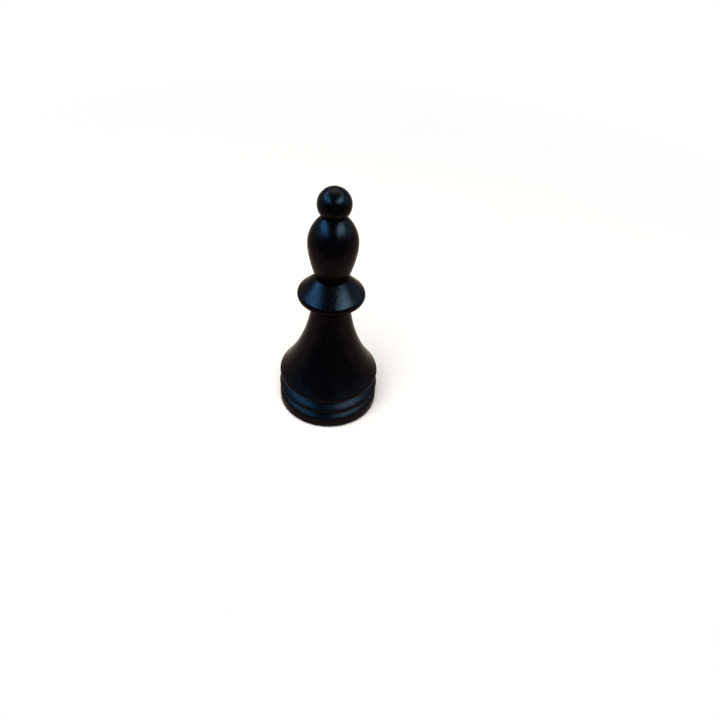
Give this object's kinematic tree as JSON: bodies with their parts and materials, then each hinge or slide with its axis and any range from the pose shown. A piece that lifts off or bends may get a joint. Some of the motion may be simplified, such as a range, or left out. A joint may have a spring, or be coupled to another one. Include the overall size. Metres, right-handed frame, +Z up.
{
  "type": "chess bishop",
  "caption": "Turned wooden chess bishop with a ball finial, a drop-shaped head, a double-cone collar and a grooved, weighted base on felt.",
  "frame": {"origin": "centre of the felt's underside, on the turning axis", "axes": "+Z up the turning axis towards the ball finial; X and Y are alike, because the piece is round"},
  "size_m": [0.0304, 0.0304, 0.0726],
  "materials": {
    "black_lacquered_wood": "black-stained hardwood under a satin lacquer",
    "weight_steel": "plain turned steel, hidden",
    "bare_wood": "unstained wood disc, hidden",
    "felt": "thin dark green wool felt"
  },
  "bodies": {
    "root": {"pedestal": "black_lacquered_wood", "collar": "black_lacquered_wood", "head": "black_lacquered_wood", "ball_finial": "black_lacquered_wood", "base_weight": "weight_steel", "chamber_plug": "bare_wood", "felt_pad": "felt"}
  },
  "joints": []
}
